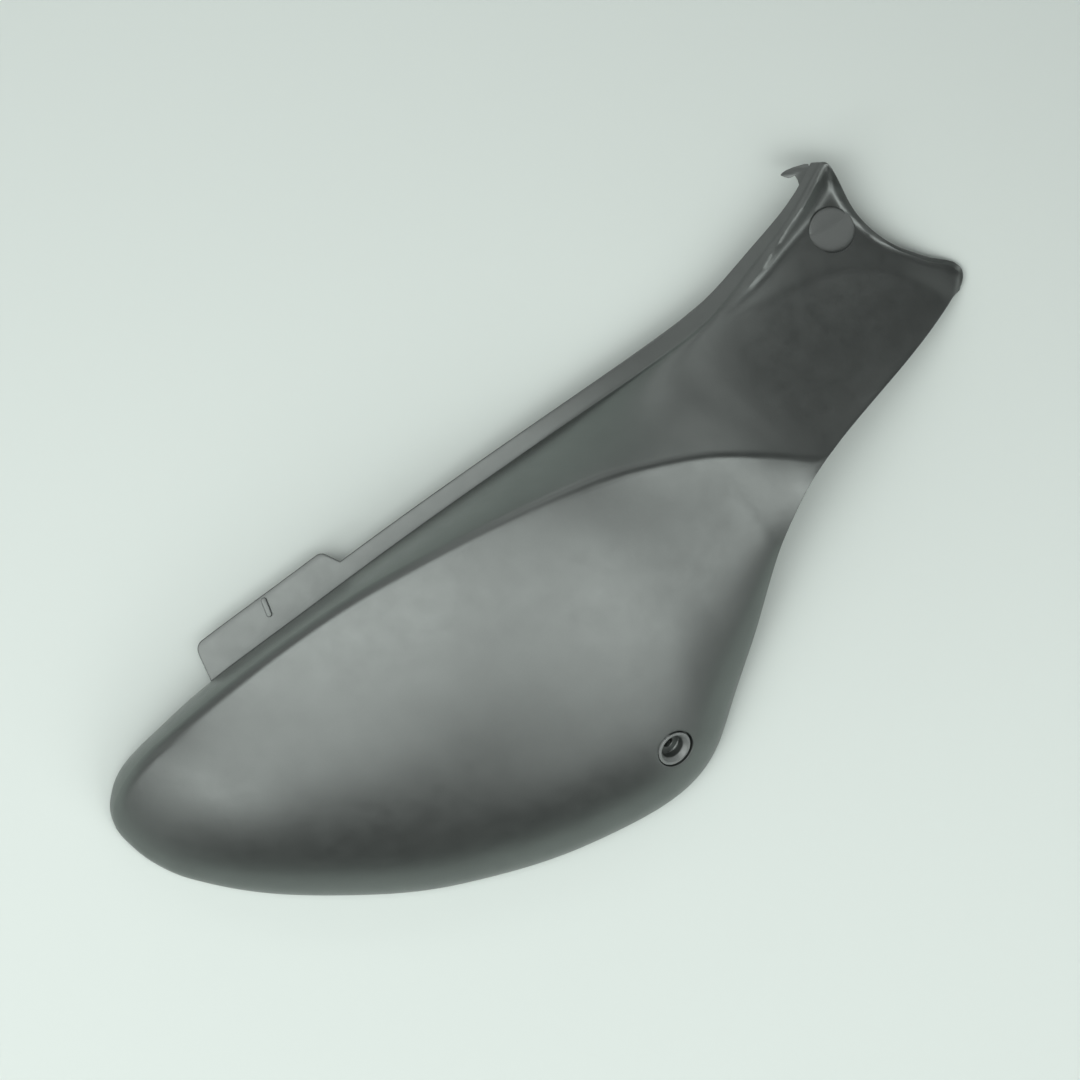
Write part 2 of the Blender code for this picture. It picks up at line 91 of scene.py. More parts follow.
def combine(thing: bpy.types.Object, tool: bpy.types.Object, how: Join) -> None:
    """Join a closed tool to an object or cut it away, then drop the tool.

    Args:
        thing: The object that changes.
        tool: A closed solid, which is removed afterwards.
        how: Whether the tool is added or cut away.
    """
    step = thing.modifiers.new("combine", "BOOLEAN")
    step.operation = how.value
    step.solver = "EXACT"
    step.object = tool
    apply_modifier(thing, step)
    bpy.data.objects.remove(tool)


def place(thing: bpy.types.Object, point: Vector, normal: Vector) -> None:
    """Set an object with its own Z along a normal, and apply that to its mesh.

    Args:
        thing: The object to set in place.
        point: Where its own origin goes.
        normal: The direction that its own Z takes.
    """
    turn = Vector((0.0, 0.0, 1.0)).rotation_difference(normal).to_matrix().to_4x4()
    thing.data.transform(Matrix.Translation(point) @ turn)


def weld_all(distance: float) -> None:
    """In edit mode, weld the points that lie together and drop faces without size.

    Args:
        distance: How close two points have to lie.
    """
    bpy.ops.mesh.select_all(action="SELECT")
    bpy.ops.mesh.remove_doubles(threshold=distance)
    bpy.ops.mesh.dissolve_degenerate(threshold=SPECK)


def face_outwards() -> None:
    """In edit mode, turn all faces of a closed solid outwards."""
    bpy.ops.mesh.select_all(action="SELECT")
    bpy.ops.mesh.normals_make_consistent(inside=False)


def ramp(x: float, start: float, length: float) -> float:
    """Share of the way from a start over a length, from nought to one."""
    return min(max((x - start) / length, 0.0), 1.0)


def natural_spline(xs: np.ndarray, ys: np.ndarray) -> np.ndarray:
    """Second derivatives of the smooth cubic curve through a few points.

    Args:
        xs: Rising places of the points.
        ys: Their values.

    Returns:
        The second derivative at each point, none at the two ends.
    """
    count = len(xs)
    matrix = np.zeros((count, count))
    right = np.zeros(count)
    matrix[0, 0] = 1.0
    matrix[-1, -1] = 1.0
    for i in range(1, count - 1):
        before = xs[i] - xs[i - 1]
        after = xs[i + 1] - xs[i]
        matrix[i, i - 1] = before
        matrix[i, i] = 2.0 * (before + after)
        matrix[i, i + 1] = after
        right[i] = 6.0 * ((ys[i + 1] - ys[i]) / after - (ys[i] - ys[i - 1]) / before)
    return np.linalg.solve(matrix, right)


@dataclass
class Guide:
    """A smooth curve through a few points, opened out near the nose where it turns round."""

    points: Sequence[Pair]
    scale: float = MM
    nose: float | None = None
    xs: np.ndarray = field(init=False)
    ys: np.ndarray = field(init=False)
    bend: np.ndarray = field(init=False)

    def __post_init__(self) -> None:
        """Work out the curve's bend at each point."""
        self.xs = np.array([self.stretch(x * MM) for x, _ in self.points])
        self.ys = np.array([y * self.scale for _, y in self.points])
        if self.nose is not None:
            self.xs[0] = 0.0
        self.bend = natural_spline(self.xs, self.ys)

    def stretch(self, x: float) -> float:
        """Distance from the nose in a measure that opens out its round end."""
        return x if self.nose is None else math.sqrt(max(x - self.nose, 0.0))

    def __call__(self, x: float) -> float:
        """Value of the curve at x."""
        at = self.stretch(x)
        i = min(max(int(np.searchsorted(self.xs, at)) - 1, 0), len(self.xs) - 2)
        width = self.xs[i + 1] - self.xs[i]
        a = (self.xs[i + 1] - at) / width
        b = 1.0 - a
        smooth = ((a ** 3 - a) * self.bend[i] + (b ** 3 - b) * self.bend[i + 1]) * width * width / 6.0
        return float(a * self.ys[i] + b * self.ys[i + 1] + smooth)

    def slope(self, x: float, step: float = 0.0005) -> float:
        """Rise of the curve per metre at x."""
        return (self(x + step) - self(x - step)) / (2.0 * step)


def bezier(arc: Sequence[Vector], t: float) -> Vector:
    """Point of a cubic arc at t, from 0 at its first end to 1 at its last."""
    s = 1.0 - t
    return arc[0] * s ** 3 + arc[1] * (3.0 * s * s * t) + arc[2] * (3.0 * s * t * t) + arc[3] * t ** 3


@dataclass
class Flange:
    """The straight mounting strip along the foot of the wall, with its tab near the nose."""

    width: float = 0.0117
    end_width: float = 0.0050
    start_x: float = -0.215
    low_z: float = 0.015
    rise: float = 0.024
    twist: float = 0.28
    twist_from: float = 0.03
    twist_over: float = 0.10
    tab_length: float = 0.113
    tab_reach: float = 0.0235
    first_end: Pair = (5.5, 0.0065)
    last_end: Pair = (1.9, 0.0060)
    narrow_x: float = 0.155
    end_x: float = 0.250

    def round_from(self, end: Pair) -> float:
        """Distance inside an end of the tab at which its corner has run out.

        Args:
            end: Draft of the end's edge and radius of its corner.
        """
        draft, radius = end
        return self.tab_reach / draft + radius * math.tan(0.5 * math.atan(draft))

    def tab_out(self, inset: float, end: Pair) -> float:
        """How far the tab stands out, a distance inside one of its ends."""
        draft, radius = end
        middle = self.round_from(end)
        if inset >= middle:
            return self.tab_reach
        if inset > middle - radius * math.sin(math.atan(draft)):
            return self.tab_reach - radius + math.sqrt(radius ** 2 - (middle - inset) ** 2)
        return draft * inset

    def out(self, x: float) -> float:
        """Width of the flange at x: none round the nose, then the tab and the strip."""
        if x <= self.start_x:
            return 0.0
        width = self.width
        if x > self.narrow_x:
            share = ramp(x, self.narrow_x, self.end_x - self.narrow_x)
            width += (self.end_width - self.width) * share
        end = self.start_x + self.tab_length
        if x < self.start_x + 0.5 * self.tab_length:
            return self.tab_out(x - self.start_x, self.first_end)
        if x < end:
            return max(self.tab_out(end - x, self.last_end), width)
        return width

    def fall(self, x: float) -> float:
        """How much the flange leans down outwards, per metre."""
        return self.twist * ramp(x, self.twist_from, self.twist_over)


@dataclass
class Scoop:
    """The dish between the neck arc, the ridge and the forked edge."""

    depth: float = 0.0115
    slope_arc: float = 0.23
    slope_ridge: float = 1.10
    slope_fork: float = 1.80
    round: float = 0.0014
    soft: float = 0.0004
    start_x: float = 0.150
    ARC: ClassVar[list[Pair]] = [(159, 46.5), (185, 43), (204, 39.5), (229, 34.5), (247, 29), (262, 20),
                                 (274, 6.5), (284, -11), (291, -25), (316, -80)]
    RIDGE: ClassVar[list[Pair]] = [(150, 44), (161, 47), (183, 51.6), (200, 56), (226.6, 66.6),
                                   (251.5, 76.4), (269.6, 85.8), (316, 108)]
    arc: Guide = field(init=False)
    ridge: Guide = field(init=False)

    def __post_init__(self) -> None:
        """Make the two lines that bound the dish."""
        self.arc = Guide(self.ARC)
        self.ridge = Guide(self.RIDGE)

    def depth_at(self, x: float, y: float, fork: Guide) -> float:
        """How far the skin is dished at a place.

        Args:
            x: Place along the panel.
            y: Place across it.
            fork: The forked edge, as x over y.

        Returns:
            Depth of the dish there.
        """
        if x < self.start_x:
            return 0.0
        from_arc = (y - self.arc(x)) / math.hypot(1.0, self.arc.slope(x))
        from_ridge = (self.ridge(x) - y) / math.hypot(1.0, self.ridge.slope(x))
        from_fork = (fork(y) - x) / math.hypot(1.0, fork.slope(y))
        limits = (from_arc * self.slope_arc, from_ridge * self.slope_ridge,
                  from_fork * self.slope_fork, self.depth)
        sharp = 1.0 / self.round
        depth = -math.log(sum(math.exp(-min(limit * sharp, 60.0)) for limit in limits)) / sharp
        depth = 0.5 * (depth + math.hypot(depth, self.soft))
        return max(depth - 0.0001, 0.0)


@dataclass
class Skin:
    """The outer skin of the moulding: its guide curves and its sections."""

    wall: float = 0.0025
    crown_height: float = 0.088
    nose_x: float = -0.3153
    tail_x: float = 0.316
    shoulder_round: float = 0.0038
    foot_round: float = 0.0011
    neck_pull: float = 0.42
    foot_pull: float = 0.02
    dome_pull: float = 0.52
    rim_flare: float = 0.012
    flare_from: float = -0.02
    flare_over: float = 0.08
    steep_drop: float = 0.030
    steep_rise: float = 0.56
    flat_pull: float = 0.3
    flange: Flange = field(default_factory=Flange)
    scoop: Scoop = field(default_factory=Scoop)
    flange_cells: int = 6
    foot_cells: int = 3
    neck_cells: int = 30
    round_cells: int = 3
    dome_cells: int = 74
    nose_rows: int = 56
    row_step: float = 0.0027
    corner_rows: tuple[int, int] = (16, 24)
    tab_gap: float = 0.00003
    tail_start: float = 0.235
    tail_rows: int = 28

    RIM_Y: ClassVar[list[Pair]] = [
        (-315.3, 1), (-314, -9), (-312, -17.2), (-307, -29.8), (-300, -42), (-290, -54.3), (-280, -65.2),
        (-255, -87.8), (-220, -113), (-180, -137), (-140, -154), (-100, -166.8), (-60, -174.6),
        (-28, -177.6), (-8, -176), (8, -171), (22, -163), (40, -149), (80, -118.5), (118, -87.8),
        (134, -77.5), (150, -68.4), (170, -59.8), (200, -50.6), (240, -40.4), (270, -31.6),
        (300, -19.8), (316, -12)]
    RIM_Z: ClassVar[list[Pair]] = [
        (-315.3, 0), (-280, 0), (-200, 0), (-100, 0), (-28, 0), (-8, 0.4), (8, 2), (22, 5.2), (45, 12.6),
        (80, 24.5), (110, 35.5), (130, 42.6), (145, 46.6), (156, 47.6), (167, 46.2), (180, 43.2),
        (200, 38.2), (240, 26), (280, 12.9), (300, 5.6), (316, 1.9)]
    FOOT_Y: ClassVar[list[Pair]] = [
        (-315.3, 1), (-314, 9.6), (-312, 14.6), (-306, 22.2), (-295, 30.4), (-280, 35.4), (-255, 39.4),
        (-240, 41.6), (-218, 43.8), (-150, 46.2), (-90, 48), (0, 49), (75, 48.8), (135, 49.2),
        (160, 51), (180, 55.8), (200, 62.3), (220, 68.8), (240, 76), (264.6, 88), (316, 113)]
    NOSE_FOOT_Z: ClassVar[list[Pair]] = [
        (-315.3, 0), (-300, 3.2), (-280, 7), (-250, 11.4), (-215, 15)]
    SHOULDER_Y: ClassVar[list[Pair]] = [
        (-315.3, 1), (-309, 11), (-291, 21), (-270, 27), (-240, 30), (-210, 32.5), (-180, 34.5),
        (-150, 35.3), (-120, 34.8), (-90, 32.4), (-60, 29), (-30, 25), (0, 20), (30, 14.5), (60, 7),
        (90, -5), (115, -17.5), (135, -31), (150, -42.3), (163, -53.2), (171, -57), (185, -52.8),
        (200, -48.3), (240, -38), (270, -29.2), (300, -17.5), (316, -9.5)]
    SHOULDER_Z: ClassVar[list[Pair]] = [
        (-315.3, 0), (-309, 15), (-291, 32.5), (-270, 46), (-240, 59), (-210, 67.5), (-180, 74),
        (-150, 79), (-120, 83), (-90, 86), (-60, 87.5), (-30, 88), (0, 87.5), (30, 85.5), (60, 81),
        (90, 74.5), (115, 66.6), (135, 58.6), (150, 52), (163, 47.9), (171, 45.4), (180, 43), (200, 38),
        (240, 25.8), (280, 12.7), (300, 5.5), (316, 1.8)]
    NECK_SLOPE: ClassVar[list[Pair]] = [
        (-315.3, 0.4), (-270, 0.5), (-210, 0.7), (-120, 0.9), (-30, 0.85), (30, 0.78), (75, 0.66),
        (110, 0.5), (130, 0.36), (150, 0.2), (163, 0.14), (175, 0.15), (190, 0.18), (210, 0.19),
        (240, 0.14), (280, 0.05), (316, -0.05)]
    FOOT_HEIGHT: ClassVar[list[Pair]] = [
        (-315.3, 0), (-300, 9), (-280, 17), (-240, 28), (-200, 34), (-120, 34), (-60, 29), (0, 22),
        (50, 14), (90, 9.5), (130, 7.6), (170, 7.2), (200, 6.2), (230, 5.5), (316, 6)]
    DOME_SLOPE: ClassVar[list[Pair]] = [
        (-315.3, 0), (-270, 0.02), (-200, -0.03), (-100, -0.02), (0, 0.04), (60, 0.14), (110, 0.32),
        (135, 0.27), (150, 0.15), (163, 0.04), (172, -0.06), (240, -0.06), (316, -0.06)]
    FORK_EDGE: ClassVar[list[Pair]] = [
        (-30, 288), (-22, 298.8), (-18.4, 303.4), (-15.4, 306.2), (-10.6, 307.8), (-5.2, 306.0),
        (0, 301.2), (5.2, 295.4), (11.8, 290.2), (18.2, 285.2), (26.2, 280.2), (39.5, 275.2),
        (52, 273.0), (62, 273.2), (72.2, 274.7), (82, 275.9), (87, 275.9), (89.6, 274.8), (93, 270),
        (96.2, 264), (98.6, 257.2), (110, 230)]

    def __post_init__(self) -> None:
        """Make the guide curves from their tables."""
        nose = self.nose_x
        self.rim_y = Guide(self.RIM_Y, nose=nose)
        self.rim_z = Guide(self.RIM_Z, nose=nose)
        self.foot_y = Guide(self.FOOT_Y, nose=nose)
        self.nose_foot_z = Guide(self.NOSE_FOOT_Z, nose=nose)
        self.shoulder_y = Guide(self.SHOULDER_Y, nose=nose)
        self.shoulder_z = Guide(self.SHOULDER_Z, self.crown_height / 88.0, nose)
        self.neck_slope = Guide(self.NECK_SLOPE, 1.0, nose)
        self.foot_height = Guide(self.FOOT_HEIGHT, nose=nose)
        self.dome_slope = Guide(self.DOME_SLOPE, 1.0, nose)
        self.fork_edge = Guide(self.FORK_EDGE)

    @property
    def row_length(self) -> int:
        """Number of points in one section."""
        return (self.flange_cells + self.foot_cells + self.neck_cells + 2 * self.round_cells
                + self.dome_cells + 1)

    def foot_z(self, x: float) -> float:
        """Height of the foot of the wall, which the flange carries on outwards."""
        if x <= self.flange.start_x:
            return self.nose_foot_z(x)
        return self.flange.low_z + self.flange.rise * (x - self.flange.start_x)

    def arcs(self, x: float) -> tuple[list[Vector], list[Vector]]:
        """The two arcs of the section at x.

        Args:
            x: Place along the panel.

        Returns:
            The arc from the shoulder to the flange foot, and the one from the shoulder to the rim.
        """
        foot = Vector((x, self.foot_y(x), self.foot_z(x)))
        shoulder = Vector((x, self.shoulder_y(x), self.shoulder_z(x)))
        rim = Vector((x, self.rim_y(x), self.rim_z(x)))
        span = foot.y - shoulder.y
        reach = self.neck_pull * span
        neck = [shoulder, shoulder + Vector((0.0, reach, -reach * self.neck_slope(x))),
                foot + Vector((0.0, -self.foot_pull * span, self.foot_height(x))), foot]
        span = shoulder.y - rim.y
        drop = shoulder.z - rim.z
        reach = self.dome_pull * span
        steep = ramp(drop, 0.0, self.steep_drop) if x > 0.0 else 1.0
        lean = (self.rim_flare * ramp(x, self.flare_from, self.flare_over) * steep
                + self.flat_pull * span * (1.0 - steep))
        rise = (self.steep_rise * steep + self.flat_pull * (1.0 - steep)) * drop
        dome = [shoulder, shoulder + Vector((0.0, -reach, -reach * self.dome_slope(x))),
                rim + Vector((0.0, lean, rise)), rim]
        return neck, dome

    def point(self, x: float, index: int) -> Vector:
        """One point of the section at x.

        Args:
            x: Place along the panel.
            index: Its number, from the flange edge over the shoulder to the rim.

        Returns:
            The point on the outer skin.
        """
        neck, dome = self.arcs(x)
        if x <= self.nose_x:
            return neck[0].copy()
        foot = neck[3]
        width = self.flange.out(x)
        fall = self.flange.fall(x)
        fillet = min(self.foot_round, 0.3 * width)
        if index < self.flange_cells:
            out = width + (fillet - width) * index / self.flange_cells
            return foot + Vector((0.0, out, -out * fall))
        index -= self.flange_cells
        neck_end = 1.0 - fillet / (3.0 * (neck[3] - neck[2]).length + 1e-6)
        if index < self.foot_cells:
            t = index / self.foot_cells
            first = foot + Vector((0.0, fillet, -fillet * fall))
            last = bezier(neck, neck_end)
            spot = first * (1.0 - t) ** 2 + foot * (2.0 * t * (1.0 - t)) + last * t * t
            return self.dished(spot)
        index -= self.foot_cells
        neck_start = min(self.shoulder_round / max(3.0 * (neck[1] - neck[0]).length, 1e-6), 0.3)
        dome_start = min(self.shoulder_round / max(3.0 * (dome[1] - dome[0]).length, 1e-6), 0.3)
        if index < self.neck_cells:
            t = neck_end + (neck_start - neck_end) * index / self.neck_cells
            return self.dished(bezier(neck, t))
        index -= self.neck_cells
        if index < 2 * self.round_cells:
            t = index / (2.0 * self.round_cells)
            first = bezier(neck, neck_start)
            last = bezier(dome, dome_start)
            spot = first * (1.0 - t) ** 2 + neck[0] * (2.0 * t * (1.0 - t)) + last * t * t
            return self.dished(spot)
        index -= 2 * self.round_cells
        t = dome_start + (1.0 - dome_start) * index / self.dome_cells
        return self.dished(bezier(dome, t))

    def dished(self, spot: Vector) -> Vector:
        """A point of the skin, let down by the scoop."""
        return Vector((spot.x, spot.y, spot.z - self.scoop.depth_at(spot.x, spot.y, self.fork_edge)))

    def end_of(self, index: int) -> float:
        """Where the line of one point number meets the forked edge."""
        low, high = self.tail_start, self.tail_x
        for _ in range(26):
            mid = 0.5 * (low + high)
            if self.fork_edge(self.point(mid, index).y) > mid:
                low = mid
            else:
                high = mid
        return 0.5 * (low + high)

    def stations(self) -> list[float]:
        """Places of the sections up to the tail, closer together where the outline turns."""
        start = self.flange.start_x
        length = start - self.nose_x
        places = [self.nose_x + length * (i / self.nose_rows) ** 2 for i in range(self.nose_rows + 1)]
        flange = self.flange
        end = start + flange.tab_length
        first, last = flange.round_from(flange.first_end), flange.round_from(flange.last_end)
        at_first, at_last = self.corner_rows
        places += [start + self.tab_gap + first * i / at_first for i in range(at_first)]
        count = round((end - last - start - first) / self.row_step)
        places += [start + first + (end - last - start - first) * i / count for i in range(count)]
        places += [end - last * (1.0 - i / at_last) for i in range(at_last)]
        count = round((self.tail_start - end) / self.row_step)
        places += [end + (self.tail_start - end) * i / count for i in range(count + 1)]
        return places

    def rows(self) -> np.ndarray:
        """All points of the outer skin.

        Returns:
            An array of rows by points by three, the rows from the nose to the forked edge.
        """
        numbers = range(self.row_length)
        rows = [[self.point(x, i) for i in numbers] for x in self.stations()]
        ends = [self.end_of(i) for i in numbers]
        for k in range(1, self.tail_rows + 1):
            share = k / self.tail_rows
            rows.append([self.point(self.tail_start + (ends[i] - self.tail_start) * share, i)
                         for i in numbers])
        return np.array(rows)

    def surface(self, x: float, y: float, dished: bool = True) -> tuple[Vector, Vector]:
        """Point of the outer skin above a place, and the outward normal there.

        Args:
            x: Place along the panel.
            y: Place across it, on the bulb, the neck or the scoop.
            dished: Whether the scoop counts.

        Returns:
            The point and the unit normal.
        """
        def at(where: float, target: float) -> Vector:
            """Point of the skin found by halving along its section."""
            neck, dome = self.arcs(where)
            arc = dome if target < self.shoulder_y(where) else neck
            sign = 1.0 if arc[3].y > arc[0].y else -1.0
            low, high = 0.0, 1.0
            for _ in range(40):
                mid = 0.5 * (low + high)
                if (bezier(arc, mid).y - target) * sign < 0.0:
                    low = mid
                else:
                    high = mid
            spot = bezier(arc, 0.5 * (low + high))
            return self.dished(spot) if dished else spot
        step = 0.003
        along = at(x + step, y) - at(x - step, y)
        across = at(x, y + step) - at(x, y - step)
        return at(x, y), along.cross(across).normalized()


@dataclass
class Shell:
    """The moulding itself: skin, wall thickness and rolled edges."""

    skin: Skin
    edge_roll: float = 0.0006
    lowest: float = -0.0003
    fork_y: Pair = (-0.025, 0.095)

    def build(self, finishes: Sequence[bpy.types.Material]) -> bpy.types.Object:
        """Loft the skin on a grid, give it its wall and roll its edges.

        Args:
            finishes: Finish of the skin and its edges, the inner side, the collar and the round pad.

        Returns:
            The moulding before its details.
        """
        rows = self.skin.rows()
        deselect_all()
        cells = (rows.shape[0] - 1, rows.shape[1] - 1)
        bpy.ops.mesh.primitive_grid_add(x_subdivisions=cells[0], y_subdivisions=cells[1], size=1.0)
        shell = bpy.context.object
        shell.name = "moulded_shell"
        for finish in finishes:
            shell.data.materials.append(finish)
        self.shape(shell, rows)
        pick(shell)
        bpy.ops.object.mode_set(mode="EDIT")
        weld_all(10.0 * SPECK)
        bpy.ops.object.mode_set(mode="OBJECT")
        self.point_outwards(shell)
        wall = shell.modifiers.new("wall", "SOLIDIFY")
        wall.thickness = self.skin.wall
        wall.offset = -1.0
        wall.use_even_offset = True
        wall.use_quality_normals = True
        wall.material_offset = 1
        skin_faces = len(shell.data.polygons)
        apply_modifier(shell, wall)
        self.trim(shell)
        self.roll_rim(shell, 2 * skin_faces)
        return shell

    def trim(self, shell: bpy.types.Object) -> None:
        """Bring back what the wall's thickness pushes past the forked edge or under the panel's foot."""
        for vertex in shell.data.vertices:
            spot = vertex.co
            if spot.x > self.skin.tail_start and self.fork_y[0] < spot.y < self.fork_y[1]:
                spot.x = min(spot.x, self.skin.fork_edge(spot.y))
            spot.z = max(spot.z, self.lowest)

    def roll_rim(self, shell: bpy.types.Object, first: int) -> None:
        """Round both edges of the wall's rim.

        Args:
            shell: The shell with its wall.
            first: Number of the first face of the rim, which follows those of the two skins.
        """
        mesh = shell.data
        seen: dict[tuple[int, int], int] = {}
        for face in mesh.polygons[first:]:
            for key in face.edge_keys:
                seen[key] = seen.get(key, 0) + 1
        bevel_chosen(shell, [seen.get(edge.key, 0) == 1 for edge in mesh.edges], self.edge_roll, 3)

    @staticmethod
    def shape(shell: bpy.types.Object, rows: np.ndarray) -> None:
        """Move the flat grid's points to the places of the skin."""
        mesh = shell.data
        flat = np.empty(len(mesh.vertices) * 3)
        mesh.vertices.foreach_get("co", flat)
        flat = flat.reshape(-1, 3)
        along = np.rint((flat[:, 0] + 0.5) * (rows.shape[0] - 1)).astype(int)
        across = np.rint((flat[:, 1] + 0.5) * (rows.shape[1] - 1)).astype(int)
        mesh.vertices.foreach_set("co", rows[along, across].ravel())
        mesh.update()

    @staticmethod
    def point_outwards(shell: bpy.types.Object) -> None:
        """Turn all faces so that the top of the skin looks up."""
        top = max(shell.data.polygons, key=lambda face: face.center.z)
        if top.normal.z < 0.0:
            pick(shell)
            bpy.ops.object.mode_set(mode="EDIT")
            bpy.ops.mesh.select_all(action="SELECT")
            bpy.ops.mesh.flip_normals()
            bpy.ops.object.mode_set(mode="OBJECT")


def bevel_chosen(thing: bpy.types.Object, chosen: Sequence[bool], offset: float, segments: int) -> None:
    """Bevel chosen edges of an object.

    Args:
        thing: The object that changes.
        chosen: Whether each of its edges is bevelled.
        offset: Width of the bevel on each side.
        segments: Number of steps in the bevel.
    """
    mesh = thing.data
    for part in (mesh.vertices, mesh.polygons):
        part.foreach_set("select", [False] * len(part))
    mesh.edges.foreach_set("select", list(chosen))
    LOG.info("%s: %d edges bevelled", thing.name, sum(chosen))
    pick(thing)
    bpy.ops.object.mode_set(mode="EDIT")
    bpy.ops.mesh.select_mode(type="EDGE")
    bpy.ops.mesh.bevel(offset=offset, segments=segments, affect="EDGES", clamp_overlap=False,
                       loop_slide=False)
    bpy.ops.mesh.select_all(action="DESELECT")
    bpy.ops.object.mode_set(mode="OBJECT")


def roll_edges(thing: bpy.types.Object, radius: float, angle: float, segments: int) -> None:
    """Round all edges of an object that are sharper than an angle.

    Args:
        thing: The object that changes.
        radius: Width of the rounding on each side.
        angle: Least angle between the two faces of an edge that is rounded.
        segments: Number of steps in the rounding.
    """
    pick(thing)
    bpy.ops.object.mode_set(mode="EDIT")
    bpy.ops.mesh.select_all(action="DESELECT")
    bpy.ops.mesh.select_mode(type="EDGE")
    bpy.ops.mesh.edges_select_sharp(sharpness=angle)
    bpy.ops.mesh.bevel(offset=radius, segments=segments, affect="EDGES", clamp_overlap=False,
                       loop_slide=False)
    bpy.ops.mesh.select_all(action="DESELECT")
    bpy.ops.object.mode_set(mode="OBJECT")


def turned(name: str, profile: Sequence[Pair], steps: int) -> bpy.types.Object:
    """Closed solid turned round its own Z from a profile of (radius, height) points.

    Args:
        name: Name of the solid.
        profile: Points from the axis round to the axis again.
        steps: Number of faces round it.

    Returns:
        The solid at the origin.
    """
    deselect_all()
    bpy.ops.mesh.primitive_circle_add(vertices=len(profile), fill_type="NOTHING")
    made = bpy.context.object
    made.name = name
    for vertex, (radius, height) in zip(made.data.vertices, profile):
        vertex.co = (radius, 0.0, height)
    pick(made)
    bpy.ops.object.mode_set(mode="EDIT")
    bpy.ops.mesh.select_all(action="SELECT")
    bpy.ops.mesh.spin(steps=steps, angle=math.tau, center=(0.0, 0.0, 0.0), axis=(0.0, 0.0, 1.0))
    weld_all(5.0 * SPECK)
    face_outwards()
    bpy.ops.object.mode_set(mode="OBJECT")
    return made


def finish_round(thing: bpy.types.Object, point: Vector, axis: Vector, radius: float, heights: Pair,
                 finish: int) -> None:
    """Give the faces inside a cylinder their own finish.

    Args:
        thing: The object whose faces change.
        point: Point on the cylinder's axis.
        axis: Direction of that axis.
        radius: Radius of the cylinder.
        heights: Its two ends, along the axis from the point.
        finish: Number of the finish among the object's materials.
    """
    for face in thing.data.polygons:
        arm = face.center - point
        height = arm.dot(axis)
        if (arm - axis * height).length < radius and heights[0] < height < heights[1]:
            face.material_index = finish


